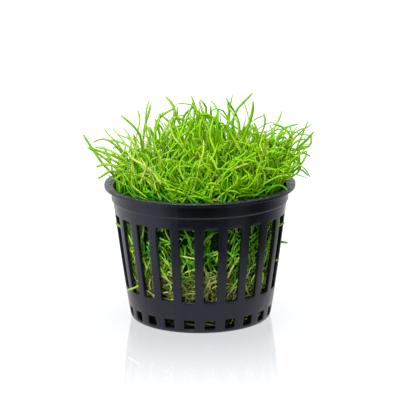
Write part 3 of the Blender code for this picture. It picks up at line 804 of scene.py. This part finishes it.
def grow_wall(rng, material):
    """The matted leaves that the slots show, and the few that poke out through them."""
    paths = wall_paths(rng, count=980, low=8.0, high=33.0, depths=(0.45, 5.0), lengths=(6.0, 15.0), curl=0.10,
                       slant=0.95)
    paths = bend_within(paths, 6.0, 35.0)
    strays = stray_paths()
    widths = np.concatenate([rng.uniform(0.42, 0.76, len(paths)), np.full(len(strays), STRAY_WIDTH)])
    stray_tints = np.full((len(strays), SEGMENTS + 1), STRAY_TINT)
    tints = np.concatenate([even_tints(rng, 1.1, 0.9, paths), stray_tints])
    paths = np.concatenate([paths, strays])
    new_piece(leaves_mesh("wall_leaves", rng, paths, widths, tints), material)


def grow_old(rng, material):
    """The old growth low in the pot: strands, those behind the small holes, and finer and paler fibres."""
    low = wall_paths(rng, count=760, low=1.6, high=14.0, depths=(0.35, 4.2), lengths=(6.0, 14.0), curl=0.09,
                     slant=0.9)
    low = bend_within(low, 1.5, 20.0)
    foot = wall_paths(rng, count=260, low=2.0, high=4.8, depths=(0.2, 0.9), lengths=(4.0, 9.0), curl=0.08,
                      slant=0.9)
    foot = bend_within(foot, 1.6, 6.5)
    fibres = wall_paths(rng, count=90, low=6.0, high=15.0, depths=(0.25, 1.6), lengths=(8.0, 16.0), curl=0.06,
                        slant=0.5)
    fibres = bend_within(fibres, 1.5, 22.0)
    paths = np.concatenate([low, foot, fibres])
    tints = np.concatenate([even_tints(rng, 1.0, 1.15, low), even_tints(rng, 2.0, 1.0, foot),
                            even_tints(rng, 2.5, 1.8, fibres)])
    widths = np.concatenate([rng.uniform(0.36, 0.66, len(low)), rng.uniform(0.38, 0.64, len(foot)),
                             rng.uniform(0.22, 0.34, len(fibres))])
    new_piece(leaves_mesh("old_strands", rng, paths, widths, tints), material)


def build_leaves():
    """All the leaves. They draw from one spread in turn, so their order matters."""
    rng = np.random.default_rng(SEED)
    # Fresh leaves pass into the shaded greens below the rim, painted shade down in the pot; the inner leaves
    # take the shaded greens and pass into the olive of old growth low down
    fresh = leaf_material("fresh_leaf_green", BRIGHT_GREENS, SHADED_GREENS, 30.0, 40.0)
    inner = leaf_material("inner_leaf_green", SHADED_GREENS, OLIVES, 8.0, 17.0, 0.24, 0.45)
    old = leaf_material("old_strand_olive", OLIVES, OLIVES, 8.0, 17.0, 0.34, 0.45)
    grow_tufts(rng, fresh)
    grow_mound(rng, fresh)
    grow_rim(rng, fresh)
    grow_wall(rng, inner)
    grow_old(rng, old)


def build_core(name, rows, lumps, material, replaces):
    """A closed lumpy body that backs the leaves and paints the shade in the gaps between them, with flatter
    lumps near the pot's floor.
    """
    bm = spin_rows(rows, CORE_STEPS)
    bmesh.ops.subdivide_edges(bm, edges=bm.edges, cuts=1, use_grid_fill=True)
    for vertex in bm.verts:
        place = vertex.co / MM
        lump = noise.noise(place * 0.45) + 0.5 * noise.noise(place * 1.1)
        lump *= min(1.0, (place.z - 1.0) / 3.0)
        vertex.co += vertex.co.normalized() * lump * lumps * MM
    new_piece(mesh_from(bm, name), material, [replaces])


def build_cores():
    """Both cores lie behind the leaves by the mats' cover, and their rows run from the top down. The green
    core is painted shade; the old core is the old growth's brown, darkened as painted shade.
    """
    green = core_material("painted_shade_inside", ((0.001, 0.012, 0.0003), (0.008, 0.06, 0.001)),
                          ((0.012, 0.11, 0.0005), (0.05, 0.32, 0.001)))
    rows = [(radius, float(mat_height(radius)) - MAT_TOP_COVER) for radius in (0.0, 6.0, 12.0, 17.0, 21.0)]
    rows += [(23.2, 35.6), (22.8, 33.6), (wall_radius(31.5) - WALL - MAT_NECK_COVER, 31.5)]
    rows += [(wall_radius(z) - WALL - MAT_SIDE_COVER, z) for z in (26.0, 19.0, 12.5)]
    rows += [(0.0, 12.2)]
    build_core("painted_shade_core", rows, 0.9, green, "leaf_mat")
    # The old growth's own dark brown, darkened further as painted shade in the gaps between strands
    shades = ((0.003, 0.004, 0.0007), (0.06, 0.065, 0.013))
    brown = core_material("old_growth_and_painted_shade", shades, shades)
    rows = [(0.0, 11.9), (14.0, 11.9), (17.5, 11.4), (18.7, 9.0), (18.4, 5.0), (18.5, 2.8), (18.6, 1.5)]
    rows += [(18.0, 1.15), (0.0, 1.15)]
    build_core("old_growth_shade_core", rows, 0.35, brown, "root_mat")


# The studio

def build_camera():
    data = bpy.data.cameras.new("camera")
    data.lens, data.sensor_width = LENS, SENSOR
    camera = bpy.data.objects.new("camera", data)
    turn = Matrix.Rotation(pi / 2 - CAMERA_DOWN, 4, "X") @ Matrix.Rotation(CAMERA_ROLL, 4, "Z")
    camera.matrix_world = Matrix.Translation(CAMERA_PLACE) @ turn
    bpy.context.scene.collection.objects.link(camera)
    bpy.context.scene.camera = camera


def studio_brightness(tree, x, y):
    """How bright gloss sees the studio in each direction round the pot: dark in front, white at the back."""
    away = arithmetic(tree, "ARCTAN2", x, arithmetic(tree, "MULTIPLY", y, -1.0))
    turn = arithmetic(tree, "ADD", arithmetic(tree, "DIVIDE", away, 2 * pi), 0.5)
    return ramp(tree, turn, *((share, (level,) * 3) for share, level in STUDIO_LEVELS))


def build_floor():
    """A white gloss table that mirrors the pot's foot. Lengths and distances from the axis are in metres.

    Gloss sees it bright near the pot, and as the studio beyond: the floor glows with painted light. To the
    camera it glows white, dimmer near the pot as painted shade round its foot, where it mirrors the pot.
    """
    bm = bmesh.new()
    bmesh.ops.create_circle(bm, cap_ends=True, segments=64, radius=6.0)
    floor = bpy.data.objects.new("floor", mesh_from(bm, "floor"))
    bpy.context.scene.collection.objects.link(floor)
    material, tree, shader = new_material("floor_white", 0.03)
    shader.inputs["Base Color"].default_value = (0, 0, 0, 1)
    shader.inputs["IOR"].default_value = 2.0
    shader.inputs["Emission Color"].default_value = (0.95, 0.97, 1.0, 1)
    place, _, distance = place_of(tree)
    split = tree.nodes.new("ShaderNodeSeparateXYZ")
    ways = tree.nodes.new("ShaderNodeLightPath")
    bounce = tree.nodes.new("ShaderNodeBsdfDiffuse")
    bounce.inputs["Color"].default_value = (0.5, 0.5, 0.5, 1)
    studio = tree.nodes.new("ShaderNodeEmission")
    # What gloss sees of the floor near the pot: a warm grey glow, painted light in the pot's reflection
    near = tree.nodes.new("ShaderNodeRGB")
    near.outputs[0].default_value = (0.80, 0.745, 0.74, 1)
    around = studio_brightness(tree, split.outputs["X"], split.outputs["Y"])
    gloss, seen = tree.nodes.new("ShaderNodeMixShader"), tree.nodes.new("ShaderNodeMixShader")
    # The glow seen by the camera is dimmer within 78 mm of the axis: painted shade round the pot's foot
    link(tree, (place, split.inputs[0]),
         (spread(tree, distance, 0.010, 0.078, 0.66, 1.06), shader.inputs["Emission Strength"]),
         (blend_colours(tree, spread(tree, distance, 0.050, 0.072), near.outputs[0], around),
          studio.inputs["Color"]),
         (ways.outputs["Is Glossy Ray"], gloss.inputs["Fac"]),
         (bounce.outputs[0], gloss.inputs[1]), (studio.outputs[0], gloss.inputs[2]),
         (ways.outputs["Is Camera Ray"], seen.inputs["Fac"]), (gloss.outputs[0], seen.inputs[1]),
         (shader.outputs[0], seen.inputs[2]),
         (seen.outputs[0], tree.nodes["Material Output"].inputs["Surface"]))
    floor.data.materials.append(material)


def add_light(name, place, size, power):
    """A soft square light that faces the pot."""
    data = bpy.data.lights.new(name, "AREA")
    data.size = size
    data.energy = power
    light = bpy.data.objects.new(name, data)
    light.location = place
    light.rotation_euler = (Vector((0, 0, 0.04)) - light.location).to_track_quat("-Z", "Y").to_euler()
    bpy.context.scene.collection.objects.link(light)


def build_light():
    world = bpy.data.worlds.new("studio")
    bpy.context.scene.world = world
    world.use_nodes = True
    tree = world.node_tree
    shine = tree.nodes["Background"]
    dome = tree.nodes.new("ShaderNodeBackground")
    dome.inputs["Strength"].default_value = 0.58
    ways = tree.nodes.new("ShaderNodeLightPath")
    split = tree.nodes.new("ShaderNodeSeparateXYZ")
    choice = tree.nodes.new("ShaderNodeMixShader")
    link(tree, (tree.nodes.new("ShaderNodeTexCoord").outputs["Generated"], split.inputs[0]),
         (studio_brightness(tree, split.outputs["X"], split.outputs["Y"]), shine.inputs["Color"]),
         (ways.outputs["Is Glossy Ray"], choice.inputs["Fac"]),
         (dome.outputs[0], choice.inputs[1]), (shine.outputs[0], choice.inputs[2]),
         (choice.outputs[0], tree.nodes["World Output"].inputs["Surface"]))
    add_light("overhead", place=(-0.14, -0.34, 0.52), size=0.32, power=5.0)


bpy.context.scene.view_settings.view_transform = "Standard"
MOTTLE = mottle_group()
BLADE = blade_template()
build_camera()
build_floor()
build_light()
build_pot()
build_cores()
build_leaves()
